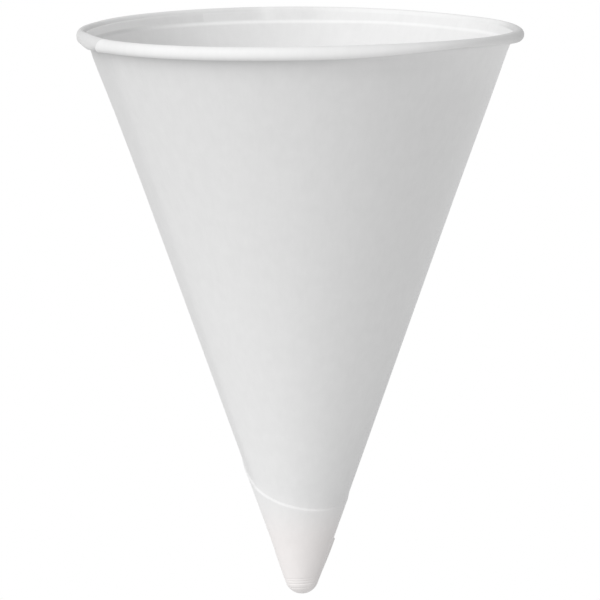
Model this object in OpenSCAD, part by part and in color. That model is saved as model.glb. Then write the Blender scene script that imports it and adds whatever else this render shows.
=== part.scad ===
// Cone paper cup: one sheet of paper wound into a cone, with a rolled rim and a rounded closed tip.
// It stands mouth down on its rolled rim. Z is the cup's axis, up towards the tip, and the origin is
// the middle of the mouth. -Y is the front. Lengths are in millimetres and angles in degrees.

/* [Cup] */
// Outside diameter over the rolled rim
rim_d = 73; // [60:0.5:90]
// Overall height from the mouth to the end of the tip
cup_h = 93.6; // [80:0.1:120]
// Outside radius of the rounded nose at the tip
nose_r = 2.6; // [2:0.1:4]

/* [Paper] */
// Thickness of one ply of the sheet
ply_t = 0.16; // [0.12:0.01:0.25]

/* [Rolled rim] */
// Outside diameter of the roll where it holds two plies
roll_d = 2.1; // [1.8:0.1:3]
// How far the paper turns round the roll before it ends beside the wall
roll_turn = 300; // [270:5:315]
// Length of the formed band between the roll and the crease inside the mouth
band_len = 1.7; // [1:0.1:4]
// How far the crease steps the wall inwards below that band
crease_step = 0.1; // [0.05:0.01:0.15]

/* [Winding] */
// Direction of the sheet's inner edge, where the second turn starts
inner_edge_a = 331.8; // [300:0.1:345]
// Shortest distance along the wall from the cone's point to the sheet's straight outer edge
outer_edge_r = 19.5; // [18:0.1:26]
// Direction in which the outer edge comes nearest to the point
outer_edge_a = 237.1; // [225:0.1:250]
// Direction in which the third turn ends, behind the right side
tail_a = 168; // [150:1:178]

/* [Tip fold] */
// Distance along the wall from the cone's point to the top of the corner folded round the tip
tip_edge_r = 13.6; // [12:0.1:16]
// Direction in which the folded corner ends, on the right side
tip_edge_a = 192; // [185:1:200]
// How far the folded corner reaches round the back
tip_fold_a = 92; // [60:1:120]

/* [Hidden] */
$fn = 96;

paper_white = [0.95, 0.95, 0.94];

// Plies of paper at the tip, and at the rim
tip_plies = 4;
wall_plies = 2;

// The wall's inner face is a cone, tangent to the round inside of the nose and, one crease further
// out, to the roll. wall_a is its half angle and point_z the height of its point.
roll_r = roll_d / 2;
nose_in_r = nose_r - tip_plies * ply_t;
nose_z = cup_h - nose_r;
roll_x = rim_d / 2 - roll_r;
rise = nose_z - roll_r;
tangent_gap = roll_r + crease_step + nose_in_r;
wall_a = acos(tangent_gap / norm([roll_x, rise])) - atan2(rise, roll_x);
point_z = nose_z + nose_in_r / sin(wall_a);
nose_s = nose_in_r / tan(wall_a);

// Length of the crease's slope along the wall
crease_run = crease_step;
// How deep a ply reaches into the one below it, as a share of its thickness
ply_bite = 0.5;
// How far from the nose a ply of the third turn, and the folded corner, come clear of the tip's plies
turn_gap = 1;
fold_gap = 0.4;
// Length along the wall over which the paper thins from the tip's plies to the wall's
taper_len = 8;
// How far below the crease the one-turn part of the wall starts
thin_gap = 0.4;
// Half thickness of the cutters that trim a ply to its edge
trim = 0.8;
// Largest angle between two cuts along a ply's edge
trim_step = 5;
// Straight steps that stand for the round of the nose and for the turn of the roll
nose_steps = 10;
roll_steps = 24;

// A point of the half section: s along the wall from the cone's point, off outwards from its inner face
function on_wall(s, off) = [
    s * sin(wall_a) + off * cos(wall_a),
    point_z - s * cos(wall_a) + off * sin(wall_a)
];

// The same point, turned to direction a round the axis
function around(a, s, off) = let (p = on_wall(s, off)) [p[0] * cos(a), p[0] * sin(a), p[1]];

// Distance s at which the roll starts, and at which the crease inside the mouth ends
rim_s = (point_z + (crease_step + roll_r) * sin(wall_a) - roll_r) / cos(wall_a);
crease_s = rim_s - band_len;

// A straight edge of the flat sheet, wound on the cone: its distance s from the point in direction a
function straight_edge(a, nearest_s, nearest_a) = nearest_s / cos(sin(wall_a) * (a - nearest_a));
function outer_edge(a) = straight_edge(a, outer_edge_r, outer_edge_a);

// Top of the one-turn part of the wall, and the direction in which the outer edge comes up to it
thin_s = crease_s - crease_run - thin_gap;
rim_edge_a = outer_edge_a + acos(outer_edge_r / (thin_s + trim)) / sin(wall_a);

// Directions from a to b in equal steps
function directions(a, b) =
    let (n = ceil((b - a) / trim_step))
    [for (i = [0 : n]) a + (b - a) * i / n];

// Points of an arc round centre c, from angle a0 to a1
function arc(c, r, a0, a1, n) = [
    for (i = [0 : n])
        let (a = a0 + (a1 - a0) * i / n)
        c + r * [cos(a), sin(a)]
];

// Half section of the cup: out round the nose, along the outside of the wall into the roll, round the
// roll's paper edge, and back along the inside to the nose
module section() {
    t = wall_plies * ply_t;
    low = crease_s - crease_run;
    nose_c = [0, nose_z];
    roll_c = on_wall(rim_s, crease_step + roll_r);
    roll_start = 180 + wall_a;
    roll_end = roll_start + roll_turn;
    polygon(concat(
        arc(nose_c, nose_r, 90, wall_a, nose_steps),
        [on_wall(nose_s + taper_len, t), on_wall(low, t), on_wall(crease_s, crease_step + t)],
        arc(roll_c, roll_r - t, roll_start, roll_end, roll_steps),
        arc(roll_c, roll_r, roll_end, roll_start, roll_steps),
        [on_wall(crease_s, crease_step), on_wall(low, 0)],
        arc(nose_c, nose_in_r, wall_a, 90, nose_steps)
    ));
}

// Full round of paper between two distances from the wall's inner face and two distances from the point
module paper_round(low_off, high_off, low_s, high_s) {
    rotate_extrude()
        polygon([
            on_wall(low_s, low_off),
            on_wall(high_s, low_off),
            on_wall(high_s, high_off),
            on_wall(low_s, high_off)
        ]);
}

// Solid square to the wall between two edges; each of its stations is [direction, low s, high s]
module trim_fan(stations) {
    n = len(stations);
    corners = 4;
    points = [
        for (e = stations)
            each [
                around(e[0], e[1], -trim),
                around(e[0], e[2], -trim),
                around(e[0], e[2], trim + tip_plies * ply_t),
                around(e[0], e[1], trim + tip_plies * ply_t)
            ]
    ];
    sides = [
        for (i = [0 : n - 2], k = [0 : corners - 1])
            let (
                a = i * corners + k,
                b = i * corners + (k + 1) % corners,
                c = b + corners,
                d = a + corners
            )
            each [[a, b, c], [a, c, d]]
    ];
    first = [[3, 2, 1, 0]];
    last = [[for (k = [0 : corners - 1]) (n - 1) * corners + k]];
    polyhedron(points = points, faces = concat(first, sides, last));
}

// Third turn of the sheet, across the front from its outer edge down to the tip
module third_turn() {
    low_s = nose_s + turn_gap;
    intersection() {
        paper_round((wall_plies - ply_bite) * ply_t, (wall_plies + 1) * ply_t, low_s, 2 * outer_edge_r);
        trim_fan([for (a = directions(tail_a, inner_edge_a)) [a, low_s - trim, outer_edge(a)]]);
    }
}

// Corner of the sheet, folded round the tip behind the right side
module tip_fold() {
    low_s = nose_s + fold_gap;
    first_a = tip_edge_a - tip_fold_a;
    intersection() {
        paper_round((wall_plies - ply_bite) * ply_t, tip_plies * ply_t, low_s, 2 * tip_edge_r);
        trim_fan([for (a = directions(first_a, tip_edge_a)) [a, low_s - trim, tip_edge_r]]);
    }
}

// Room of the outer ply that is missing above the outer edge, where the sheet has one turn only
module one_turn_room() {
    intersection() {
        paper_round(ply_t, (wall_plies + 1) * ply_t, outer_edge_r, thin_s);
        trim_fan([for (a = directions(inner_edge_a, rim_edge_a)) [a, outer_edge(a), thin_s + 2 * trim]]);
    }
}

// The whole cup, wound from one sheet
module cone_cup() {
    color(paper_white)
        difference() {
            union() {
                rotate_extrude()
                    section();
                third_turn();
                tip_fold();
            }
            one_turn_room();
        }
}

cone_cup();
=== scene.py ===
"""Dresses the cone paper cup: a white sheet wound into a cone, with a rolled rim and a folded tip.

The cup stands mouth down on its rolled rim, as its solid does. The camera looks at it from just below
the plane of the mouth and upside down, so that the picture shows it mouth up.
"""

import logging
import math
from dataclasses import dataclass, field
from enum import Enum

import bpy
import numpy as np
from mathutils import Matrix, Vector

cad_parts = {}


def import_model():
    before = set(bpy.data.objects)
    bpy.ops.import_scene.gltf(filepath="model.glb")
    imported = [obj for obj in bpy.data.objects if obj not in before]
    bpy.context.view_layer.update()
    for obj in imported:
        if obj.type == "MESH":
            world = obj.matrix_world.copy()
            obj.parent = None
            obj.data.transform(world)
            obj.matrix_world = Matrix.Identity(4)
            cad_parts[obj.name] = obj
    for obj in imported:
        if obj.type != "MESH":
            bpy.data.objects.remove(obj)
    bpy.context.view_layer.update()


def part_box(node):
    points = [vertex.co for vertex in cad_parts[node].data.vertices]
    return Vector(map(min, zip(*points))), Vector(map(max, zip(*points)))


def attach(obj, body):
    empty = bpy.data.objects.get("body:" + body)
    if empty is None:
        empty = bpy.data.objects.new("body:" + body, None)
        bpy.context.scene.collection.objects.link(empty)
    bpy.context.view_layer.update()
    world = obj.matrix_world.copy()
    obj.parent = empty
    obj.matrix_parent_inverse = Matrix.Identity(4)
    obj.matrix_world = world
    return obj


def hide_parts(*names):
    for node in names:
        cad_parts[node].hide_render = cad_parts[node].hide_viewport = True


LOG = logging.getLogger("cone_cup")
MM = 0.001
TURN = 360.0
# Attribute of the painted light and shade on the paper
PAINTED_LIGHT = "painted_light"
WARMTH = "warmth"
IMAGE_SIDE = 600


class Side(Enum):
    """A side of the picture, as a direction round the cup's axis in degrees."""

    LEFT = 0.0
    BACK = 90.0
    RIGHT = 180.0
    FRONT = 270.0


def smooth_step(t: np.ndarray) -> np.ndarray:
    """Rises from 0 to 1 as t does, level at both ends: 3 t squared less 2 t cubed.

    Args:
        t: Any values; those outside 0 to 1 are held at the ends.

    Returns:
        The eased values.
    """
    c = np.clip(t, 0.0, 1.0)
    return c * c * (3.0 - 2.0 * c)


def fade_out(x: np.ndarray, reach: float) -> np.ndarray:
    """Falls from 1 at x = 0 to 0 at x = reach, level at both ends."""
    return smooth_step(1.0 - x / reach)


def angle_from(a: np.ndarray, centre: float) -> np.ndarray:
    """The signed angle from centre to a, in degrees, between -180 and 180."""
    half = TURN / 2.0
    return (a - centre + half) % TURN - half


@dataclass(frozen=True)
class Ramp:
    """An eased rise from 0 at start to 1 one run further on; with a negative run it falls."""

    start: float
    run: float

    def at(self, x: np.ndarray) -> np.ndarray:
        """The ramp's share at x."""
        return smooth_step((x - self.start) / self.run)


@dataclass(frozen=True)
class Window:
    """A stretch round the axis: eased to 0 at reach widths from its middle, and 1 from one width less."""

    middle: float
    width: float
    reach: float = 1.5

    def at(self, a: np.ndarray) -> np.ndarray:
        """The window's share in direction a."""
        return smooth_step(self.reach - np.abs(angle_from(a, self.middle)) / self.width)


@dataclass(frozen=True)
class Bells:
    """Bell curves round the axis; at its width from the middle, each has fallen to about a third."""

    heights: tuple[float, ...]
    turns: tuple[float, ...]
    widths: tuple[float, ...]

    def at(self, a: np.ndarray) -> np.ndarray:
        """The sum of the bells, each a height times exp of minus the square of angle over width.

        Args:
            a: Directions of the columns, shape (n, 1).

        Returns:
            The sum for each column, shape (n, 1).
        """
        off = angle_from(a, np.array(self.turns)) / np.array(self.widths)
        return (np.array(self.heights) * np.exp(-(off**2))).sum(axis=1, keepdims=True)


@dataclass
class Winding:
    """How the sheet lies round the cone: directions in degrees, lengths in metres along the wall."""

    # Inner edge, and the angle within which the next turn climbs over it
    inner_edge_a: float = 331.8
    climb_a: float = 6.0

    # Straight outer edge: nearest distance to the cone's point, its direction, and the third turn's end
    outer_edge_r: float = 19.8 * MM
    outer_edge_a: float = 237.1
    tail_a: float = 168.0
    crease_gap: float = 1.0 * MM
    edge_slope: float = 0.28 * MM
    edge_fade: float = 0.9 * MM
    edge_crisp: Ramp = Ramp(196.0, 30.0)

    # Lip that the outer edge lifts, in plies
    lip_plies: float = 0.5
    lip_run: float = 1.5 * MM
    lip_side: Ramp = Ramp(210.0, 40.0)

    # Corner folded round the tip
    fold_s: float = 13.8 * MM
    fold_a: float = 190.0
    fold_soft_a: float = 4.0
    fold_back_a: float = 110.0
    fold_plies: float = 1.4
    tip_plies: int = 4
    tip_taper: float = 8.0 * MM

    # How far the outer turns stand off, and where along the wall
    loose: float = 0.15 * MM
    loose_start: float = 6.0 * MM
    loose_end: Ramp = Ramp(22.0 * MM, 60.0 * MM)
    loose_power: float = 0.6

    # Rows of the grid beside a paper edge: under the paper, past it, and on its softened slope
    rows_under: tuple[float, ...] = (0.10 * MM, 0.03 * MM, 0.006 * MM, 0.0)
    rows_past: tuple[float, ...] = (0.004 * MM, 0.03 * MM, 0.10 * MM)
    rows_slope: tuple[float, ...] = (0.0, 0.02 * MM, 0.10 * MM)

    @staticmethod
    def straight_edge(a: np.ndarray, near_r: float, near_a: float, sin_wall: float) -> np.ndarray:
        """A straight edge of the flat sheet, wound on the cone.

        On the unrolled cone a line at distance d from the point lies at d / cos(angle), and the
        unrolled angle is the angle round the axis times the sine of the cone's half angle.

        Args:
            a: Directions round the axis, in degrees.
            near_r: The edge's shortest distance from the cone's point.
            near_a: The direction of that nearest place.
            sin_wall: Sine of the cone's half angle.

        Returns:
            The distance of the edge from the point, along the wall.
        """
        return near_r / np.cos(np.radians(sin_wall * (a - near_a)))


@dataclass(frozen=True)
class PaintedLight:
    """Share of the paper's full white, place by place: painted light and shade that stand in for the cup's
    shading, shadows and highlights.

    Directions are in degrees and lengths in metres. Steps, falls and shades are taken off the tone.
    """

    # Outside of the wall, painted light and shade: a lit tone in front and on the left, a shaded one on the
    # right, and painted shade over the one-turn part
    tip: float = 1.0
    fall: float = 0.10
    edge_step: float = 0.035
    right: float = 0.95
    right_fall: float = 0.115
    left_a: float = 306.0
    left: Ramp = Ramp(-0.35, 0.9)
    thin_shade: float = 0.045
    thin_lead_a: float = 4.0
    thin_run_a: float = 12.0

    # Painted soft patches of light and shade half way up the wall, painted shade in front of the tip, and a
    # painted highlight along the outer edge
    middle: Bells = Bells((0.03, -0.03), (221.0, 193.0), (13.0, 8.0))
    middle_way: float = 0.36
    middle_run: float = 0.2
    tip_front: Bells = Bells((0.04,), (252.0,), (28.0,))
    tip_reach: float = 14.0 * MM
    edge_line: float = 0.042
    edge_line_at: float = 0.4
    edge_line_run: float = 0.3 * MM
    edge_line_side: Ramp = Ramp(222.0, 40.0)

    # Outside of the wall beside the crease: painted shadow under the roll, and painted light on the right
    # and along the roll
    beside: float = 0.03
    thin_beside: float = 0.05
    beside_reach: float = 5.0 * MM
    glow: float = 0.06
    glow_side: Window = Window(203.0, 28.0)
    glow_reach: float = 10.0 * MM
    roll_line: Bells = Bells((0.12,), (247.0,), (20.0,))
    roll_line_reach: float = 2.4 * MM

    # Painted light and shade on the roll's skin: shade on the one-turn part and on the right, and a painted
    # highlight rising across it from the mouth to the outside
    roll: float = 0.95
    thin_roll_shade: float = 0.81
    right_roll: float = 0.13
    right_roll_side: Window = Window(195.0, 34.0)
    roll_shades: Bells = Bells((0.17, 0.045, 0.045), (180.0, 356.0, 324.0), (17.0, 9.0, 8.0))
    skin: float = 0.05
    right_skin: float = 0.06
    right_skin_side: Window = Window(205.0, 50.0, 1.6)
    skin_side: Ramp = Ramp(-88.0, 30.0)
    skin_round: Ramp = Ramp(285.0, 110.0)

    # Painted light and shade on the far side of the roll, whose share grows with the cosine of the angle
    # from the back
    far: float = 0.865
    far_side: Ramp = Ramp(0.2, 0.32)
    far_rise: float = 0.085
    far_rise_side: Ramp = Ramp(65.0, 45.0)
    far_fall: float = 0.05
    far_fall_side: Ramp = Ramp(128.0, 25.0)
    far_edge: float = 0.06
    far_edge_round: Ramp = Ramp(235.0, 40.0)
    far_light_and_shade: Bells = Bells((0.055, -0.03, -0.03), (81.0, 73.5, 92.4), (1.4, 7.0, 2.6))

    # Inside: band, its mark, the crease and the cone behind it, with painted light and shade: the band
    # darker up to its mark, a painted highlight on the crease, painted shade on it on the left and deep in
    # the cone
    inside: float = 0.893
    band: float = 0.045
    band_mark_a: float = 422.2
    band_lead_a: float = 35.0
    band_run_a: float = 25.0
    band_left: Bells = Bells((0.045,), (15.0,), (22.0,))
    bright: float = 0.03
    bright_side: Window = Window(125.0, 34.0)
    bright_cone: float = 0.4
    pale_crease: float = 0.085
    pale_side: Ramp = Ramp(42.0, 20.0)
    pale_back: float = 0.4
    pale_back_side: Ramp = Ramp(100.0, 40.0)
    pale_back_end: float = 200.0
    dark_crease: float = 0.13
    dark_side: Ramp = Ramp(46.0, -16.0)
    deep: float = 0.05
    deep_side: Window = Window(18.0, 34.0)

    def on_wall(
        self,
        a: np.ndarray,
        past_edge: np.ndarray,
        from_nose: np.ndarray,
        to_crease: np.ndarray,
        wrapped: np.ndarray,
        wall_length: float,
    ) -> np.ndarray:
        """Painted light and shade of the outside.

        In front and on the left it falls in a straight line from the tip to the rim, with a step at
        the outer edge. On the right, the shaded side, it rises slightly towards the rim. Soft patches of
        painted light and shade are added.

        Args:
            a: Directions of the columns, shape (n, 1).
            past_edge: Angle past the sheet's inner edge, shape (n, 1).
            from_nose: Distance along the wall from the end of the nose.
            to_crease: Distance along the wall to the crease.
            wrapped: Whether the third turn covers the place.
            wall_length: Distance along the wall from the nose to the roll.

        Returns:
            The tone of each grid point.
        """
        way = from_nose / wall_length
        bare = np.where(wrapped, 0.0, 1.0)
        # Painted light on the front and left, darkening from the tip to the rim, with a painted step at the
        # outer edge
        left = self.tip - self.fall * way - self.edge_step * bare
        # Painted shade on the right
        right = self.right - self.right_fall * (1.0 - way)
        share = self.left.at(np.cos(np.radians(a - self.left_a)))
        # Painted shade over the one-turn part past the sheet's inner edge
        thin_shade = smooth_step((past_edge + self.thin_lead_a) / self.thin_run_a) * bare
        side = self.glow_side.at(a)
        # Painted shadow under the roll, deeper over the one-turn part
        shade = self.beside * (1.0 - side) + self.thin_beside * thin_shade
        shade = shade * fade_out(to_crease, self.beside_reach)
        # Painted light under the roll on the right and along its front
        glow = self.glow * side * fade_out(to_crease, self.glow_reach)
        glow = glow + self.roll_line.at(a) * fade_out(to_crease, self.roll_line_reach)
        # Painted shade in front of the tip, and painted patches of light and shade half way up
        tip = self.tip_front.at(a) * fade_out(from_nose, self.tip_reach)
        patch = self.middle.at(a) * np.exp(-(((way - self.middle_way) / self.middle_run) ** 2))
        return left * share + right * (1.0 - share) - self.thin_shade * thin_shade - shade + glow - tip + patch

    def on_edge(self, a: np.ndarray, off: np.ndarray) -> np.ndarray:
        """Painted highlight along the outer edge: a narrow bell across it, which fades out on the right."""
        return self.edge_line * np.exp(-((off / self.edge_line_run) ** 2)) * self.edge_line_side.at(a)

    def on_roll(self, a: np.ndarray, turned: np.ndarray, one_turn: np.ndarray) -> np.ndarray:
        """Painted light and shade of the roll: a painted highlight makes its outside paler than towards the
        mouth, and it has its own painted tone behind.

        Args:
            a: Directions of the columns, shape (n, 1).
            turned: Angle round the roll in degrees.
            one_turn: Whether the roll holds one ply of the sheet, shape (n, 1).

        Returns:
            The tone of each grid point.
        """
        # Painted shade on the one-turn part, at the roll's right end and at a few places round it
        near = np.where(one_turn, self.thin_roll_shade, self.roll) - self.roll_shades.at(a)
        near = near - self.right_roll * self.right_roll_side.at(a)
        across = self.skin + self.right_skin * self.right_skin_side.at(a)
        across = across * self.skin_side.at(angle_from(a, Side.FRONT.value))
        # Painted highlight rising across the roll from the mouth to its outside
        near = near + across * (2.0 * self.skin_round.at(turned) - 1.0)
        # Painted tone of the far side: lighter towards the back, painted shade towards the right and along
        # the far outline, and narrow painted streaks of light and shade
        far = self.far + self.far_rise * self.far_rise_side.at(a % TURN) + self.far_light_and_shade.at(a)
        far = far - self.far_fall * self.far_fall_side.at(a % TURN)
        far = far - self.far_edge * self.far_edge_round.at(turned)
        return near + (far - near) * self.far_side.at(np.cos(np.radians(a - Side.BACK.value)))

    def on_inside(self, a: np.ndarray, on_band: np.ndarray, crease_light: np.ndarray) -> np.ndarray:
        """Painted light and shade of the inside: the band is darker up to its mark, and the crease has a
        painted highlight, or painted shade on the left.

        Args:
            a: Directions of the columns, shape (n, 1).
            on_band: Whether a row lies on the band, shape (1, rows).
            crease_light: How much of the crease's slope a row shows, shape (1, rows).

        Returns:
            The tone of each grid point.
        """
        thin_shade = smooth_step((a - self.band_mark_a + self.band_lead_a) / self.band_run_a)
        thin_shade = thin_shade * np.where(a < self.band_mark_a, 1.0, 0.0)
        from_left = np.abs(angle_from(a, Side.LEFT.value))
        back = self.pale_back_side.at(a) * np.where(a < self.pale_back_end, 1.0, 0.0)
        # Painted highlight on the crease, and painted shade on it on the left
        pale = self.pale_crease * self.pale_side.at(from_left) * (1.0 - self.pale_back * back)
        dark = self.dark_crease * self.dark_side.at(from_left)
        deep = self.deep * self.deep_side.at(a) * ~on_band
        bright = self.bright * self.bright_side.at(a) * np.where(on_band, 1.0, self.bright_cone)
        band = (self.band_left.at(a) + self.far_light_and_shade.at(a) - self.band * thin_shade) * on_band
        return self.inside + bright + band + crease_light * (pale - dark) - deep


@dataclass
class ConeCup:
    """The cup as one closed paper surface; lengths in metres, directions in degrees."""

    rim_r: float
    height: float
    winding: Winding = field(default_factory=Winding)
    # Painted light and shade on the paper's white
    light_paint: PaintedLight = PaintedLight()

    # Half section: roll, nose, and the band and crease inside the mouth
    roll_r: float = 0.9 * MM
    nose_r: float = 2.8 * MM
    ply: float = 0.16 * MM
    roll_turn: float = 300.0
    band: float = 1.2 * MM
    crease: float = 0.15 * MM
    crease_run: float = 0.95 * MM
    climb_fade: float = 8.0 * MM

    # How much longer the band is behind and on the left
    band_behind: float = 0.25 * MM
    behind: Window = Window(75.0, 30.0)
    band_beside: float = 0.1 * MM
    beside: Window = Window(22.0, 26.0)

    # Roll against a round one: taller in front and on the left, with a dent, bumps and thin run-out
    roll_front: float = 0.20
    roll_front_side: Ramp = Ramp(235.0, 30.0)
    roll_left: float = 0.20
    roll_left_side: Ramp = Ramp(334.0, 22.0)
    roll_back_side: Ramp = Ramp(380.0, 130.0)
    roll_dent: Bells = Bells((0.27,), (222.0,), (18.0,))
    roll_bumps: Bells = Bells((0.42, 0.10), (341.0, 183.0), (7.0, 16.0))
    bump_round: Ramp = Ramp(270.0, 90.0)
    thin_roll_a: float = 20.0

    # Slanted end of the roll's upper ply
    end_slant_a: float = 3.0
    end_soft_a: float = 6.0
    end_start: float = 270.0
    end_run: float = 130.0
    end_middle: float = 0.22

    # Fine wrinkles across the front of the nose: their places below the tip, tilt, width and depth
    wrinkle_drops: tuple[float, ...] = (2.9 * MM, 2.52 * MM, 2.02 * MM, 1.28 * MM)
    wrinkle_tilt: float = 0.07
    wrinkle_width: float = 0.08 * MM
    wrinkle_depth: float = 0.055 * MM
    wrinkle_side: Window = Window(Side.FRONT.value, 50.0, 1.6)

    # Warmer white of the tip
    warm_reach: float = 17.5 * MM
    warm_run: float = 9.0 * MM

    # Bends of the soft rim and wall
    lean: float = 0.2 * MM
    lift: float = 0.185 * MM
    sag: float = 0.203 * MM
    sag_crests: tuple[float, ...] = (1.0, 2.0, 3.0)
    sag_waves: tuple[float, ...] = (0.06 * MM, 0.281 * MM, 0.06 * MM)
    sag_turns: tuple[float, ...] = (78.4, -17.5, 56.8)
    sag_reach: float = 30.0 * MM
    drops: Bells = Bells(
        (0.22 * MM, 0.16 * MM, 0.15 * MM, -0.08 * MM), (345.0, 193.0, 158.0, 18.0), (9.0, 24.0, 15.0, 10.0)
    )
    drop_reach: float = 8.0 * MM
    flares: Bells = Bells((0.33 * MM, -0.10 * MM), (Side.LEFT.value, Side.RIGHT.value), (28.0, 28.0))
    flare_reach: float = 9.4 * MM
    flare_start: Ramp = Ramp(1.2 * MM, 4.0 * MM)

    # Grid: step between columns, columns beside a step in the paper, and rows of each stretch
    column_step: float = 1.5
    column_gap: float = 0.2
    step_columns: tuple[float, ...] = (0.003, 0.03, 0.15, 0.5)
    nose_rows: int = 70
    tip_rows: int = 60
    tip_power: float = 2.0
    third_turn_rows: int = 16
    wall_rows: int = 44
    roll_inside_rows: int = 26
    roll_skin_rows: int = 56
    band_rows: int = 6
    crease_rows: int = 10
    cone_rows: int = 48
    inner_nose_rows: int = 11

    def __post_init__(self) -> None:
        """Works out the cone that is tangent to the roll and to the round inside of the nose."""
        w = self.winding
        self.nose_in_r = self.nose_r - w.tip_plies * self.ply
        self.nose_z = self.height - self.nose_r
        roll_x = self.rim_r - self.roll_r
        rise = self.nose_z - self.roll_r
        gap = self.roll_r + self.crease + self.nose_in_r
        self.wall_a = math.acos(gap / math.hypot(roll_x, rise)) - math.atan2(rise, roll_x)
        self.sin_w = math.sin(self.wall_a)
        self.cos_w = math.cos(self.wall_a)
        self.point_z = self.nose_z + self.nose_in_r / self.sin_w
        self.nose_s = self.nose_in_r / math.tan(self.wall_a)
        self.rim_s = self._rim_distance(self.roll_r)
        self.crease_s = self.rim_s - self.band
        reach = math.degrees(math.acos(w.outer_edge_r / self.crease_s)) / self.sin_w
        self.rim_edge_a = w.outer_edge_a + reach
        self.start_a = self.rim_edge_a - TURN

    def _rim_distance(self, roll_r: np.ndarray) -> np.ndarray:
        """Distance along the wall at which a roll of this radius starts, so that it rests on z = 0."""
        lift = (self.crease + roll_r) * self.sin_w - roll_r
        return (self.point_z + lift) / self.cos_w

    def on_wall(self, s: np.ndarray, off: np.ndarray) -> tuple[np.ndarray, np.ndarray]:
        """A place on the half section.

        Args:
            s: Distance along the wall from the cone's point.
            off: Distance outwards from the wall's inner face.

        Returns:
            Radius from the axis and height.
        """
        radius = s * self.sin_w + off * self.cos_w
        height = self.point_z - s * self.cos_w + off * self.sin_w
        return radius, height

    def columns(self) -> np.ndarray:
        """Directions of the grid's columns: even steps, and close pairs where the paper ends in a step.

        Returns:
            Directions in degrees, rising through one turn from the outer edge's place at the rim.
        """
        start = self.start_a
        even = np.arange(start, start + TURN, self.column_step)
        past = np.array(self.step_columns)
        near = np.concatenate([-past[::-1], past])
        steps = [self.winding.inner_edge_a, self.winding.tail_a, self.light_paint.band_mark_a, start]
        pairs = np.concatenate([step + near for step in steps])
        pairs = np.where(pairs < start, pairs + TURN, pairs)
        gap = np.abs(even[:, None] - pairs[None, :]).min(axis=1)
        return np.sort(np.concatenate([even[gap > self.column_gap], pairs]))

    @staticmethod
    def rows_between(s0: np.ndarray, s1: np.ndarray, count: int, power: float = 1.0) -> np.ndarray:
        """Rows from s0 to s1, without the first, that crowd towards s0 for a power over 1."""
        f = np.linspace(0.0, 1.0, count + 1)[None, 1:] ** power
        return s0 + (s1 - s0) * f

    def climb(self, a: np.ndarray) -> np.ndarray:
        """How far, in plies, the sheet has risen to pass over its own inner edge: eased over climb_a."""
        past = a - self.winding.inner_edge_a
        return np.where(past > 0.0, fade_out(past, self.winding.climb_a), 0.0)

    def plies(self, a: np.ndarray) -> np.ndarray:
        """Level of the outer face below the rim, in plies: two, or one where the sheet has one turn."""
        one_turn = a > self.winding.inner_edge_a
        return np.where(one_turn, 1.0 + self.climb(a), 2.0)

    def outer_edge(self, a: np.ndarray) -> np.ndarray:
        """The sheet's outer edge: a straight line of the flat sheet, and past its tail an eased rise.

        Args:
            a: Directions of the columns, shape (n, 1).

        Returns:
            Its distance from the cone's point, never closer to the crease than crease_gap.
        """
        w = self.winding
        top = self.crease_s - self.crease_run - w.crease_gap
        edge = w.straight_edge(np.maximum(a, w.tail_a), w.outer_edge_r, w.outer_edge_a, self.sin_w)
        back = smooth_step((w.tail_a - a) / (w.tail_a - self.start_a))
        return np.minimum(edge + (top - edge) * np.where(a < w.tail_a, back, 0.0), top)

    def fold(self, a: np.ndarray) -> np.ndarray:
        """The sheet's corner folded round the tip, eased in at both of its ends.

        Args:
            a: Directions of the columns, shape (n, 1).

        Returns:
            Its height in plies.
        """
        w = self.winding
        soft = 2.0 * w.fold_soft_a
        front = smooth_step((w.fold_a + w.fold_soft_a - a) / soft)
        return w.fold_plies * front * smooth_step((a - w.fold_back_a) / soft)

    def outer_rows(self, a: np.ndarray) -> tuple[np.ndarray, np.ndarray, np.ndarray]:
        """The outside from the nose's pole to the roll, with the steps of the folded corner and outer edge.

        Rows run round the nose as an arc, then along the wall. At each paper edge the level falls by
        its plies between two rows that lie close together. Towards the nose the level eases into that
        of the tip's plies.

        Args:
            a: Directions of the columns, shape (n, 1).

        Returns:
            Radius, height and painted light and shade of each grid point.
        """
        w = self.winding
        one = np.ones_like(a)
        edge = self.outer_edge(a)
        base = self.plies(a)
        under = base + np.where(a >= w.tail_a, 1.0, 0.0)
        folded = under + self.fold(a)
        before, past = -np.array([w.rows_under]), np.array([w.rows_past])
        slope = w.edge_slope + w.edge_fade * (1.0 - w.edge_crisp.at(a)) + np.array([w.rows_slope])
        half_slope = edge + 0.5 * slope[:, :1]
        low = self.crease_s - self.crease_run
        tip = self.rows_between(self.nose_s * one, w.fold_s + before[0, 0], self.tip_rows, self.tip_power)
        third = self.rows_between(w.fold_s + past[0, -1], edge + before[0, 0], self.third_turn_rows)
        stretches = [
            (tip, folded),
            (w.fold_s * one + before[:, 1:], folded),
            (w.fold_s * one + past, under),
            (third, under),
            (edge + before[:, 1:], under),
            (edge + slope, base),
            (self.rows_between(edge + slope[:, -1:], low * one, self.wall_rows), base),
        ]
        s = np.concatenate([rows for rows, _ in stretches], axis=1)
        level = np.concatenate([plies + 0.0 * rows for rows, plies in stretches], axis=1)
        lip = w.lip_plies * np.exp(-np.abs(edge - s) / w.lip_run) * (s < half_slope)
        level = level + lip * w.lip_side.at(a)
        level = level + (w.tip_plies - level) * fade_out(s - self.nose_s, w.tip_taper)
        loose = smooth_step((s - self.nose_s) / w.loose_start) * (1.0 - w.loose_end.at(s) ** w.loose_power)
        wall = self.on_wall(s, level * self.ply + w.loose * loose)

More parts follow.
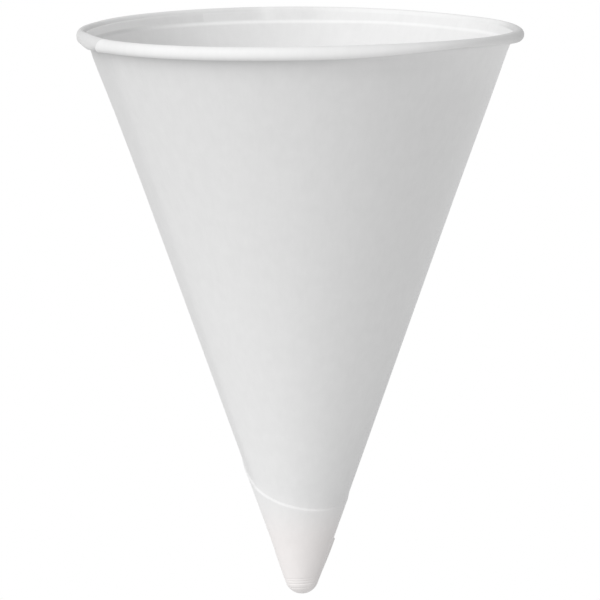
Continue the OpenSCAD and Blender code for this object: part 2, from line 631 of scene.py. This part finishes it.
        lat = np.radians(np.linspace(90.0, math.degrees(self.wall_a), self.nose_rows))[None, :]
        nose = (self.nose_r * np.cos(lat) * one, (self.nose_z + self.nose_r * np.sin(lat)) * one)
        rise = np.array([[0.5, 1.0]])
        s_band = (low + self.crease_run * rise) * one
        band = self.on_wall(s_band, self.crease * rise + base * self.ply)
        radius, z = (np.concatenate(parts, axis=1) for parts in zip(nose, wall, band))

        reach = np.concatenate([0.0 * nose[0] + self.nose_s, s, s_band], axis=1)
        from_nose, to_crease = reach - self.nose_s, self.crease_s - reach
        past_edge = a - w.inner_edge_a
        wall_length = self.rim_s - self.nose_s
        # Painted light and shade of the outside, and the painted highlight along the outer edge
        painted_light = self.light_paint.on_wall(a, past_edge, from_nose, to_crease, reach < half_slope, wall_length)
        painted_light = painted_light + self.light_paint.on_edge(a, reach - edge - self.light_paint.edge_line_at * w.edge_slope)

        pressed = self.wrinkles(radius * np.cos(np.radians(a)), z, a)
        facing = np.concatenate([lat, np.full((1, s.shape[1] + rise.size), self.wall_a)], axis=1)
        return radius - pressed * np.cos(facing), z - pressed * np.sin(facing), painted_light

    def wrinkles(self, x: np.ndarray, z: np.ndarray, a: np.ndarray) -> np.ndarray:
        """Depth of the fine wrinkles pressed across the front of the nose.

        Each wrinkle is a narrow bell-shaped groove along a plane that is tilted a little across the
        front, and it fades out towards the sides.

        Args:
            x: Place across the front.
            z: Height.
            a: Directions of the columns, shape (n, 1).

        Returns:
            How far each point is pressed into the paper.
        """
        drop = np.array(self.wrinkle_drops)[None, None, :]
        off = z[..., None] - (self.height - drop + self.wrinkle_tilt * x[..., None])
        groove = np.exp(-((off / self.wrinkle_width) ** 2)).sum(axis=-1)
        return self.wrinkle_depth * groove * self.wrinkle_side.at(a)

    def roll_height(self, a: np.ndarray) -> np.ndarray:
        """How tall the roll is against a round one: taller in front and on the left, dented on the right.

        Args:
            a: Directions of the columns, shape (n, 1).

        Returns:
            The height's share: 1 with an eased rise in front, another on the left, both eased away
            behind, less the dent.
        """
        b = np.where(a < Side.RIGHT.value, a + TURN, a)
        front = self.roll_front * self.roll_front_side.at(b)
        left = self.roll_left * self.roll_left_side.at(b)
        back = (self.roll_front + self.roll_left) * self.roll_back_side.at(b)
        return 1.0 + front + left - back - self.roll_dent.at(a)

    def roll_radius(self, a: np.ndarray) -> np.ndarray:
        """Radius of the roll's skin: one ply less over the one-turn part, crisp at the inner edge."""
        soft = smooth_step((self.rim_edge_a - a) / self.thin_roll_a)
        return self.roll_r - self.ply * np.where(a > self.winding.inner_edge_a, soft, 0.0)

    def roll_rows(self, a: np.ndarray) -> tuple[np.ndarray, np.ndarray, np.ndarray, np.ndarray]:
        """The rolled rim: round inside the roll, over the paper's end, and back round its skin.

        Both rounds are arcs about the roll's middle, a paper thickness apart, stretched in height
        from the plane that the rim rests on. Beside the sheet's inner edge the columns slant along
        the cut end of the upper ply: the turn grows in a straight line with the angle round the roll.

        Args:
            a: Directions of the columns, shape (n, 1).

        Returns:
            Radius, height, painted light and shade, and extra turn in degrees of each grid point.
        """
        one = np.ones_like(a)
        thick = (self.plies(a) - self.climb(a)) * self.ply
        r = self.roll_radius(a)
        start = 180.0 + math.degrees(self.wall_a)
        end = start + self.roll_turn
        cx, cz = self.on_wall(self._rim_distance(r), self.crease + r)
        inside = np.linspace(start, end, self.roll_inside_rows)[None, :]
        skin = np.linspace(end, start, self.roll_skin_rows)[None, :]
        turned = np.concatenate([inside, skin], axis=1) * one
        angle = np.radians(turned)
        radius = np.concatenate([r - thick + 0.0 * inside, r + 0.0 * skin], axis=1)
        # Painted light and shade of the roll
        painted_light = self.light_paint.on_roll(a, turned, a > self.winding.inner_edge_a)
        height = self.roll_height(a) + self.roll_bumps.at(a) * self.bump_round.at(turned)
        z = (cz + radius * np.sin(angle)) * height
        near = np.exp(-((angle_from(a, self.winding.inner_edge_a) / self.end_soft_a) ** 2))
        cut = np.clip((turned - self.end_start) / self.end_run, 0.0, 1.0) - self.end_middle
        return cx + radius * np.cos(angle), z, painted_light, self.end_slant_a * cut * near

    def inner_rows(self, a: np.ndarray) -> tuple[np.ndarray, np.ndarray, np.ndarray]:
        """The inside from the roll to the nose's inner pole: band, crease, cone and round end.

        The band is a little longer on the left and behind. The crease is an eased step, and its slope
        carries painted light and shade, weighted by four times the step's share times the rest.

        Args:
            a: Directions of the columns, shape (n, 1).

        Returns:
            Radius, height and paper tone of each grid point.
        """
        one = np.ones_like(a)
        start = self._rim_distance(self.roll_radius(a))
        longer = self.band_behind * self.behind.at(a) + self.band_beside * self.beside.at(a)
        crease_s = self.crease_s - longer
        band = self.rows_between(start, crease_s, self.band_rows)
        drop = np.linspace(0.0, 1.0, self.crease_rows + 1)[None, 1:]
        slope = crease_s - self.crease_run * drop
        cone = self.rows_between(slope[:, -1:], self.nose_s, self.cone_rows)
        s = np.concatenate([band, slope, cone], axis=1)

        share = 1.0 - smooth_step(drop)
        on_band, on_cone = np.ones((1, self.band_rows)), np.zeros((1, self.cone_rows))
        step = np.concatenate([on_band, share, on_cone], axis=1) * self.crease
        recess = self.climb(a) * self.ply * smooth_step((s - self.nose_s) / self.climb_fade)
        wall = self.on_wall(s, step + recess)
        lat = np.linspace(math.degrees(self.wall_a), 90.0, self.inner_nose_rows + 1)
        lat = np.radians(lat)[None, 1:]
        nose = (self.nose_in_r * np.cos(lat) * one, (self.nose_z + self.nose_in_r * np.sin(lat)) * one)
        radius, z = (np.concatenate(parts, axis=1) for parts in zip(wall, nose))

        on_end = np.zeros((1, self.inner_nose_rows))
        # Weight of the painted highlight and shade on the crease's slope
        crease_light = np.concatenate([0.0 * on_band, 4.0 * share * (1.0 - share), on_cone, on_end], axis=1)
        banded = np.arange(radius.shape[1])[None, :] < self.band_rows
        return radius, z, self.light_paint.on_inside(a, banded, crease_light)

    def sagging(self, a: np.ndarray, z: np.ndarray) -> np.ndarray:
        """How far the soft rim is bent up off the plane it rests on.

        The sum of three cosine waves, with one, two and three crests round the rim, each crest in
        its own direction, less a few local bells, all fading out with the distance from the rim.

        Args:
            a: Directions of the columns, shape (n, 1).
            z: Heights of the grid points.

        Returns:
            The extra height.
        """
        crests, heights, turns = (np.array(v) for v in (self.sag_crests, self.sag_waves, self.sag_turns))
        waves = (heights * np.cos(np.radians(crests * (a - turns)))).sum(axis=1, keepdims=True)
        dropped = self.drops.at(a) * fade_out(z, self.drop_reach)
        return self.lift + (self.sag + waves) * fade_out(z, self.sag_reach) - dropped

    def bulge(self, a: np.ndarray, z: np.ndarray) -> np.ndarray:
        """How far the wall is pushed out on the left and in on the right: bells round and along it."""
        along = np.exp(-((z / self.flare_reach) ** 2)) * self.flare_start.at(z)
        return self.flares.at(a) * along

    def warmth(self, z: np.ndarray) -> np.ndarray:
        """Share of the folded tip's warmer white: none on the wall, eased in over warm_run up the tip."""
        return smooth_step((z - self.height + self.warm_reach) / self.warm_run)

    def surface(self) -> tuple[np.ndarray, np.ndarray, np.ndarray]:
        """The whole closed surface as a grid turned round the axis.

        Returns:
            Points of shape (columns, rows, 3), whose first and last rows are the two poles, and the
            painted light and shade and the paper's warmth at each.
        """
        a = self.columns()[:, None]
        outer, roll, inner = self.outer_rows(a), self.roll_rows(a), self.inner_rows(a)
        radius, z, painted_light = (np.concatenate(rows, axis=1) for rows in zip(outer, roll[:3], inner))
        no_roll, no_inner = np.zeros_like(roll[0]), np.zeros_like(inner[0])
        warmth = np.concatenate([self.warmth(outer[1]), no_roll, no_inner], axis=1)
        slant = np.concatenate([np.zeros_like(outer[0]), roll[3], no_inner], axis=1)
        turn = np.radians(a + slant)
        radius = radius + self.bulge(a, z)
        x = radius * np.cos(turn) - self.lean * z / self.height
        points = np.stack([x, radius * np.sin(turn), z + self.sagging(a, z)], axis=-1)
        return points, painted_light, warmth

    @staticmethod
    def faces(columns: int, rows: int) -> tuple[np.ndarray, np.ndarray]:
        """Faces of a grid that is closed round its columns and shut by a point at each end.

        Args:
            columns: Number of columns.
            rows: Number of rows between the two poles.

        Returns:
            Quads and triangles, as rows of vertex numbers. The poles are the last two vertices.
        """
        grid = np.arange(columns * rows).reshape(columns, rows)
        after = np.roll(grid, -1, axis=0)
        quads = np.stack([grid[:, :-1], grid[:, 1:], after[:, 1:], after[:, :-1]], axis=-1)
        first = np.full(columns, columns * rows)
        caps = [
            np.stack([first, grid[:, 0], after[:, 0]], axis=-1),
            np.stack([first + 1, after[:, -1], grid[:, -1]], axis=-1),
        ]
        return quads.reshape(-1, 4), np.concatenate(caps)

    def build(self) -> bpy.types.Object:
        """Makes the cup's mesh object, with the painted light and shade and the paper's warmth as
        attributes of its points.

        Returns:
            The object, at the origin and unturned.
        """
        points, painted_light, warmth = self.surface()
        columns, rows = points.shape[0], points.shape[1] - 2
        poles = points[:, [0, -1]].mean(axis=0)
        verts = np.concatenate([points[:, 1:-1].reshape(-1, 3), poles])
        quads, tris = self.faces(columns, rows)
        mesh = bpy.data.meshes.new("cone_cup_paper")
        mesh.vertices.add(len(verts))
        mesh.vertices.foreach_set("co", verts.ravel())
        corners = np.concatenate([quads.ravel(), tris.ravel()])
        starts = np.concatenate([np.arange(len(quads)) * 4, quads.size + np.arange(len(tris)) * 3])
        mesh.loops.add(len(corners))
        mesh.loops.foreach_set("vertex_index", corners.astype(np.int32))
        mesh.polygons.add(len(starts))
        mesh.polygons.foreach_set("loop_start", starts.astype(np.int32))
        mesh.polygons.foreach_set("use_smooth", np.ones(len(starts), dtype=bool))
        mesh.update(calc_edges=True)
        for name, grid in ((PAINTED_LIGHT, painted_light), (WARMTH, warmth)):
            values = np.concatenate([grid[:, 1:-1].ravel(), grid[:, [0, -1]].mean(axis=0)])
            mesh.attributes.new(name, "FLOAT", "POINT").data.foreach_set("value", values)
        mesh.validate()
        cup = bpy.data.objects.new("cone_cup_paper", mesh)
        bpy.context.scene.collection.objects.link(cup)
        return cup


@dataclass(frozen=True)
class WhitePaper:
    """Plain white cup paper: matt, faintly mottled and streaked, and fibrous."""

    name: str = "white_cup_paper"
    colour: tuple[float, float, float] = (0.905, 0.905, 0.905)
    tip_colour: tuple[float, float, float] = (0.929, 0.897, 0.889)
    roughness: float = 0.5
    specular: float = 0.15
    mottle: float = 0.03
    mottle_per_m: float = 420.0
    mottle_detail: float = 4.0
    streak: float = 0.02
    streak_per_m: float = 1500.0
    streak_detail: float = 2.0
    streak_length: float = 14.0
    fibre_per_m: float = 2600.0
    fibre_detail: float = 3.0
    fibre_height: float = 0.02 * MM
    fibre_strength: float = 0.3

    @staticmethod
    def noise(nodes: bpy.types.Nodes, per_m: float, detail: float) -> bpy.types.Node:
        """Adds a noise texture.

        Args:
            nodes: The material's nodes.
            per_m: Its scale, in blots to the metre.
            detail: Its levels of finer noise.

        Returns:
            The node.
        """
        noise = nodes.new("ShaderNodeTexNoise")
        noise.inputs["Scale"].default_value = per_m
        noise.inputs["Detail"].default_value = detail
        return noise

    @staticmethod
    def around_one(nodes: bpy.types.Nodes, share: float) -> bpy.types.Node:
        """Adds a node that maps 0 to 1 onto 1 less share to 1 plus share.

        Args:
            nodes: The material's nodes.
            share: How far the result departs from 1.

        Returns:
            The node.
        """
        level = nodes.new("ShaderNodeMapRange")
        level.inputs["To Min"].default_value = 1.0 - share
        level.inputs["To Max"].default_value = 1.0 + share
        return level

    @staticmethod
    def operation(nodes: bpy.types.Nodes, kind: str, name: str) -> bpy.types.Node:
        """Adds a maths node.

        Args:
            nodes: The material's nodes.
            kind: The node's type.
            name: The operation that it does.

        Returns:
            The node.
        """
        node = nodes.new(kind)
        node.operation = name
        return node

    @staticmethod
    def attribute(nodes: bpy.types.Nodes, name: str) -> bpy.types.Node:
        """Adds a node that reads an attribute of the paper's points.

        Args:
            nodes: The material's nodes.
            name: The attribute's name.

        Returns:
            The node.
        """
        node = nodes.new("ShaderNodeAttribute")
        node.attribute_name = name
        return node

    def material(self) -> bpy.types.Material:
        """Makes the node material: white, warmer by the warmth, times mottling, streaks and the painted
        light and shade.

        Returns:
            The material, whose patterns follow Object coordinates.
        """
        mat = bpy.data.materials.new(self.name)
        mat.use_nodes = True
        nodes, links = mat.node_tree.nodes, mat.node_tree.links
        shader = nodes["Principled BSDF"]
        shader.inputs["Roughness"].default_value = self.roughness
        shader.inputs["Specular IOR Level"].default_value = self.specular
        place = nodes.new("ShaderNodeTexCoord")

        mottle = self.noise(nodes, self.mottle_per_m, self.mottle_detail)
        mottled = self.around_one(nodes, self.mottle)
        drawn = self.operation(nodes, "ShaderNodeVectorMath", "MULTIPLY")
        drawn.inputs[1].default_value = (1.0, 1.0, 1.0 / self.streak_length)
        streak = self.noise(nodes, self.streak_per_m, self.streak_detail)
        streaked = self.around_one(nodes, self.streak)
        grain = self.operation(nodes, "ShaderNodeMath", "MULTIPLY")
        links.new(place.outputs["Object"], mottle.inputs["Vector"])
        links.new(mottle.outputs["Fac"], mottled.inputs["Value"])
        links.new(place.outputs["Object"], drawn.inputs[0])
        links.new(drawn.outputs[0], streak.inputs["Vector"])
        links.new(streak.outputs["Fac"], streaked.inputs["Value"])
        links.new(mottled.outputs["Result"], grain.inputs[0])
        links.new(streaked.outputs["Result"], grain.inputs[1])

        # Painted light and shade, read from the points, times the paper's grain
        grain_and_light = self.operation(nodes, "ShaderNodeMath", "MULTIPLY")
        tint = self.operation(nodes, "ShaderNodeVectorMath", "MULTIPLY_ADD")
        tint.inputs[1].default_value = [tip - wall for tip, wall in zip(self.tip_colour, self.colour)]
        tint.inputs[2].default_value = self.colour
        white = self.operation(nodes, "ShaderNodeVectorMath", "SCALE")
        links.new(grain.outputs[0], grain_and_light.inputs[0])
        links.new(self.attribute(nodes, PAINTED_LIGHT).outputs["Fac"], grain_and_light.inputs[1])
        links.new(self.attribute(nodes, WARMTH).outputs["Fac"], tint.inputs[0])
        links.new(tint.outputs[0], white.inputs[0])
        links.new(grain_and_light.outputs[0], white.inputs["Scale"])
        links.new(white.outputs[0], shader.inputs["Base Color"])

        fibre = self.noise(nodes, self.fibre_per_m, self.fibre_detail)
        bump = nodes.new("ShaderNodeBump")
        bump.inputs["Distance"].default_value = self.fibre_height
        bump.inputs["Strength"].default_value = self.fibre_strength
        links.new(place.outputs["Object"], fibre.inputs["Vector"])
        links.new(fibre.outputs["Fac"], bump.inputs["Height"])
        links.new(bump.outputs["Normal"], shader.inputs["Normal"])
        return mat


@dataclass
class Studio:
    """Camera, soft light and floor; lengths in metres, angles in degrees."""

    distance: float = 1.0252
    elevation: float = 7.844
    focal_px: float = 6273.6
    aim_z: float = 45.105 * MM
    pivot_z: float = 45.185 * MM
    roll: float = -0.13
    sensor: float = 36.0
    view_depth: float = 20.0
    world_light: float = 0.625
    key_azimuth: float = 310.0
    key_elevation: float = -32.0
    key_irradiance: float = 1.56
    key_spread: float = 50.0
    side_azimuth: float = 160.0
    side_elevation: float = 25.0
    side_irradiance: float = 0.10
    side_spread: float = 60.0
    floor_side: float = 3.0
    floor_colour: tuple[float, float, float, float] = (0.92, 0.92, 0.92, 1.0)
    floor_roughness: float = 0.9

    def camera(self) -> bpy.types.Object:
        """Puts the camera below the mouth's plane, in front, with the cup's mouth up in the picture.

        Returns:
            The camera, set as the scene's own.
        """
        e = math.radians(self.elevation)
        eye = Vector((0.0, -self.distance * math.cos(e), self.pivot_z - self.distance * math.sin(e)))
        forward = (Vector((0.0, 0.0, self.aim_z)) - eye).normalized()
        level = forward.cross(Vector((0.0, 0.0, -1.0))).normalized()
        upright = level.cross(forward)
        turn = math.radians(self.roll)
        right = level * math.cos(turn) + upright * math.sin(turn)
        up = upright * math.cos(turn) - level * math.sin(turn)
        basis = Matrix((right, up, -forward)).transposed()
        data = bpy.data.cameras.new("camera")
        data.sensor_width = self.sensor
        data.lens = self.focal_px * self.sensor / IMAGE_SIDE
        data.clip_end = self.view_depth
        cam = bpy.data.objects.new("camera", data)
        cam.matrix_world = Matrix.Translation(eye) @ basis.to_4x4()
        bpy.context.scene.collection.objects.link(cam)
        bpy.context.scene.camera = cam
        return cam

    @staticmethod
    def direction(azimuth: float, elevation: float) -> Vector:
        """Unit vector towards an angle round the axis and an angle above the floor, both in degrees."""
        a, e = math.radians(azimuth), math.radians(elevation)
        return Vector((math.cos(a) * math.cos(e), math.sin(a) * math.cos(e), math.sin(e)))

    def lamp(self, name: str, toward: Vector, irradiance: float, spread: float) -> bpy.types.Object:
        """Makes a soft sun lamp.

        Args:
            name: The lamp's name.
            toward: Direction from the cup to the lamp.
            irradiance: Its strength.
            spread: Its apparent size in degrees.

        Returns:
            The lamp.
        """
        data = bpy.data.lights.new(name, "SUN")
        data.energy = irradiance
        data.angle = math.radians(spread)
        lamp = bpy.data.objects.new(name, data)
        lamp.rotation_mode = "QUATERNION"
        lamp.rotation_quaternion = toward.to_track_quat("Z", "Y")
        bpy.context.scene.collection.objects.link(lamp)
        return lamp

    def world(self) -> None:
        """White for the camera and for mirror and glass rays, and an even soft light for the rest."""
        world = bpy.data.worlds.new("studio")
        world.use_nodes = True
        bpy.context.scene.world = world
        nodes, links = world.node_tree.nodes, world.node_tree.links
        sky = nodes["Background"]
        sky.inputs["Color"].default_value = (1.0, 1.0, 1.0, 1.0)
        path = nodes.new("ShaderNodeLightPath")
        seen = nodes.new("ShaderNodeMath")
        seen.operation = "MAXIMUM"
        mirror = nodes.new("ShaderNodeMath")
        mirror.operation = "MAXIMUM"
        level = nodes.new("ShaderNodeMapRange")
        level.inputs["To Min"].default_value = self.world_light
        level.inputs["To Max"].default_value = 1.0
        links.new(path.outputs["Is Camera Ray"], seen.inputs[0])
        links.new(path.outputs["Is Transmission Ray"], seen.inputs[1])
        links.new(seen.outputs[0], mirror.inputs[0])
        links.new(path.outputs["Is Glossy Ray"], mirror.inputs[1])
        links.new(mirror.outputs[0], level.inputs["Value"])
        links.new(level.outputs["Result"], sky.inputs["Strength"])

    def floor(self) -> bpy.types.Object:
        """A pale floor under the rim, seen from above and clear from below, that takes the cup's shadow.

        Returns:
            The floor.
        """
        half = self.floor_side / 2.0
        mesh = bpy.data.meshes.new("floor")
        corners = [(-half, -half, 0.0), (half, -half, 0.0), (half, half, 0.0), (-half, half, 0.0)]
        mesh.from_pydata(corners, [], [(0, 1, 2, 3)])
        mat = bpy.data.materials.new("floor_pale")
        mat.use_nodes = True
        nodes, links = mat.node_tree.nodes, mat.node_tree.links
        shader = nodes["Principled BSDF"]
        shader.inputs["Base Color"].default_value = self.floor_colour
        shader.inputs["Roughness"].default_value = self.floor_roughness
        clear = nodes.new("ShaderNodeBsdfTransparent")
        side = nodes.new("ShaderNodeNewGeometry")
        mix = nodes.new("ShaderNodeMixShader")
        links.new(side.outputs["Backfacing"], mix.inputs["Fac"])
        links.new(shader.outputs["BSDF"], mix.inputs[1])
        links.new(clear.outputs["BSDF"], mix.inputs[2])
        links.new(mix.outputs["Shader"], nodes["Material Output"].inputs["Surface"])
        mesh.materials.append(mat)
        floor = bpy.data.objects.new("floor", mesh)
        floor.visible_shadow = False
        floor.visible_diffuse = False
        floor.visible_glossy = False
        floor.visible_transmission = False
        bpy.context.scene.collection.objects.link(floor)
        return floor

    def build(self) -> None:
        """Sets the colour management, the light, the floor and the camera."""
        bpy.context.scene.view_settings.view_transform = "Standard"
        self.world()
        key = self.direction(self.key_azimuth, self.key_elevation)
        self.lamp("key", key, self.key_irradiance, self.key_spread)
        side = self.direction(self.side_azimuth, self.side_elevation)
        self.lamp("side", side, self.side_irradiance, self.side_spread)
        self.floor()
        self.camera()


def main() -> None:
    """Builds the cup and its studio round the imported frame."""
    logging.basicConfig(level=logging.INFO, format="%(message)s")
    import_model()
    low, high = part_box("cone_cup")
    cup = ConeCup(rim_r=float(high[0] - low[0]) / 2.0, height=float(high[2] - low[2]))
    paper = cup.build()
    paper.data.materials.append(WhitePaper().material())
    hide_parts("cone_cup")
    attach(paper, "root")
    LOG.info("%s: %d faces", paper.name, len(paper.data.polygons))
    Studio().build()


if __name__ == "__main__":
    main()
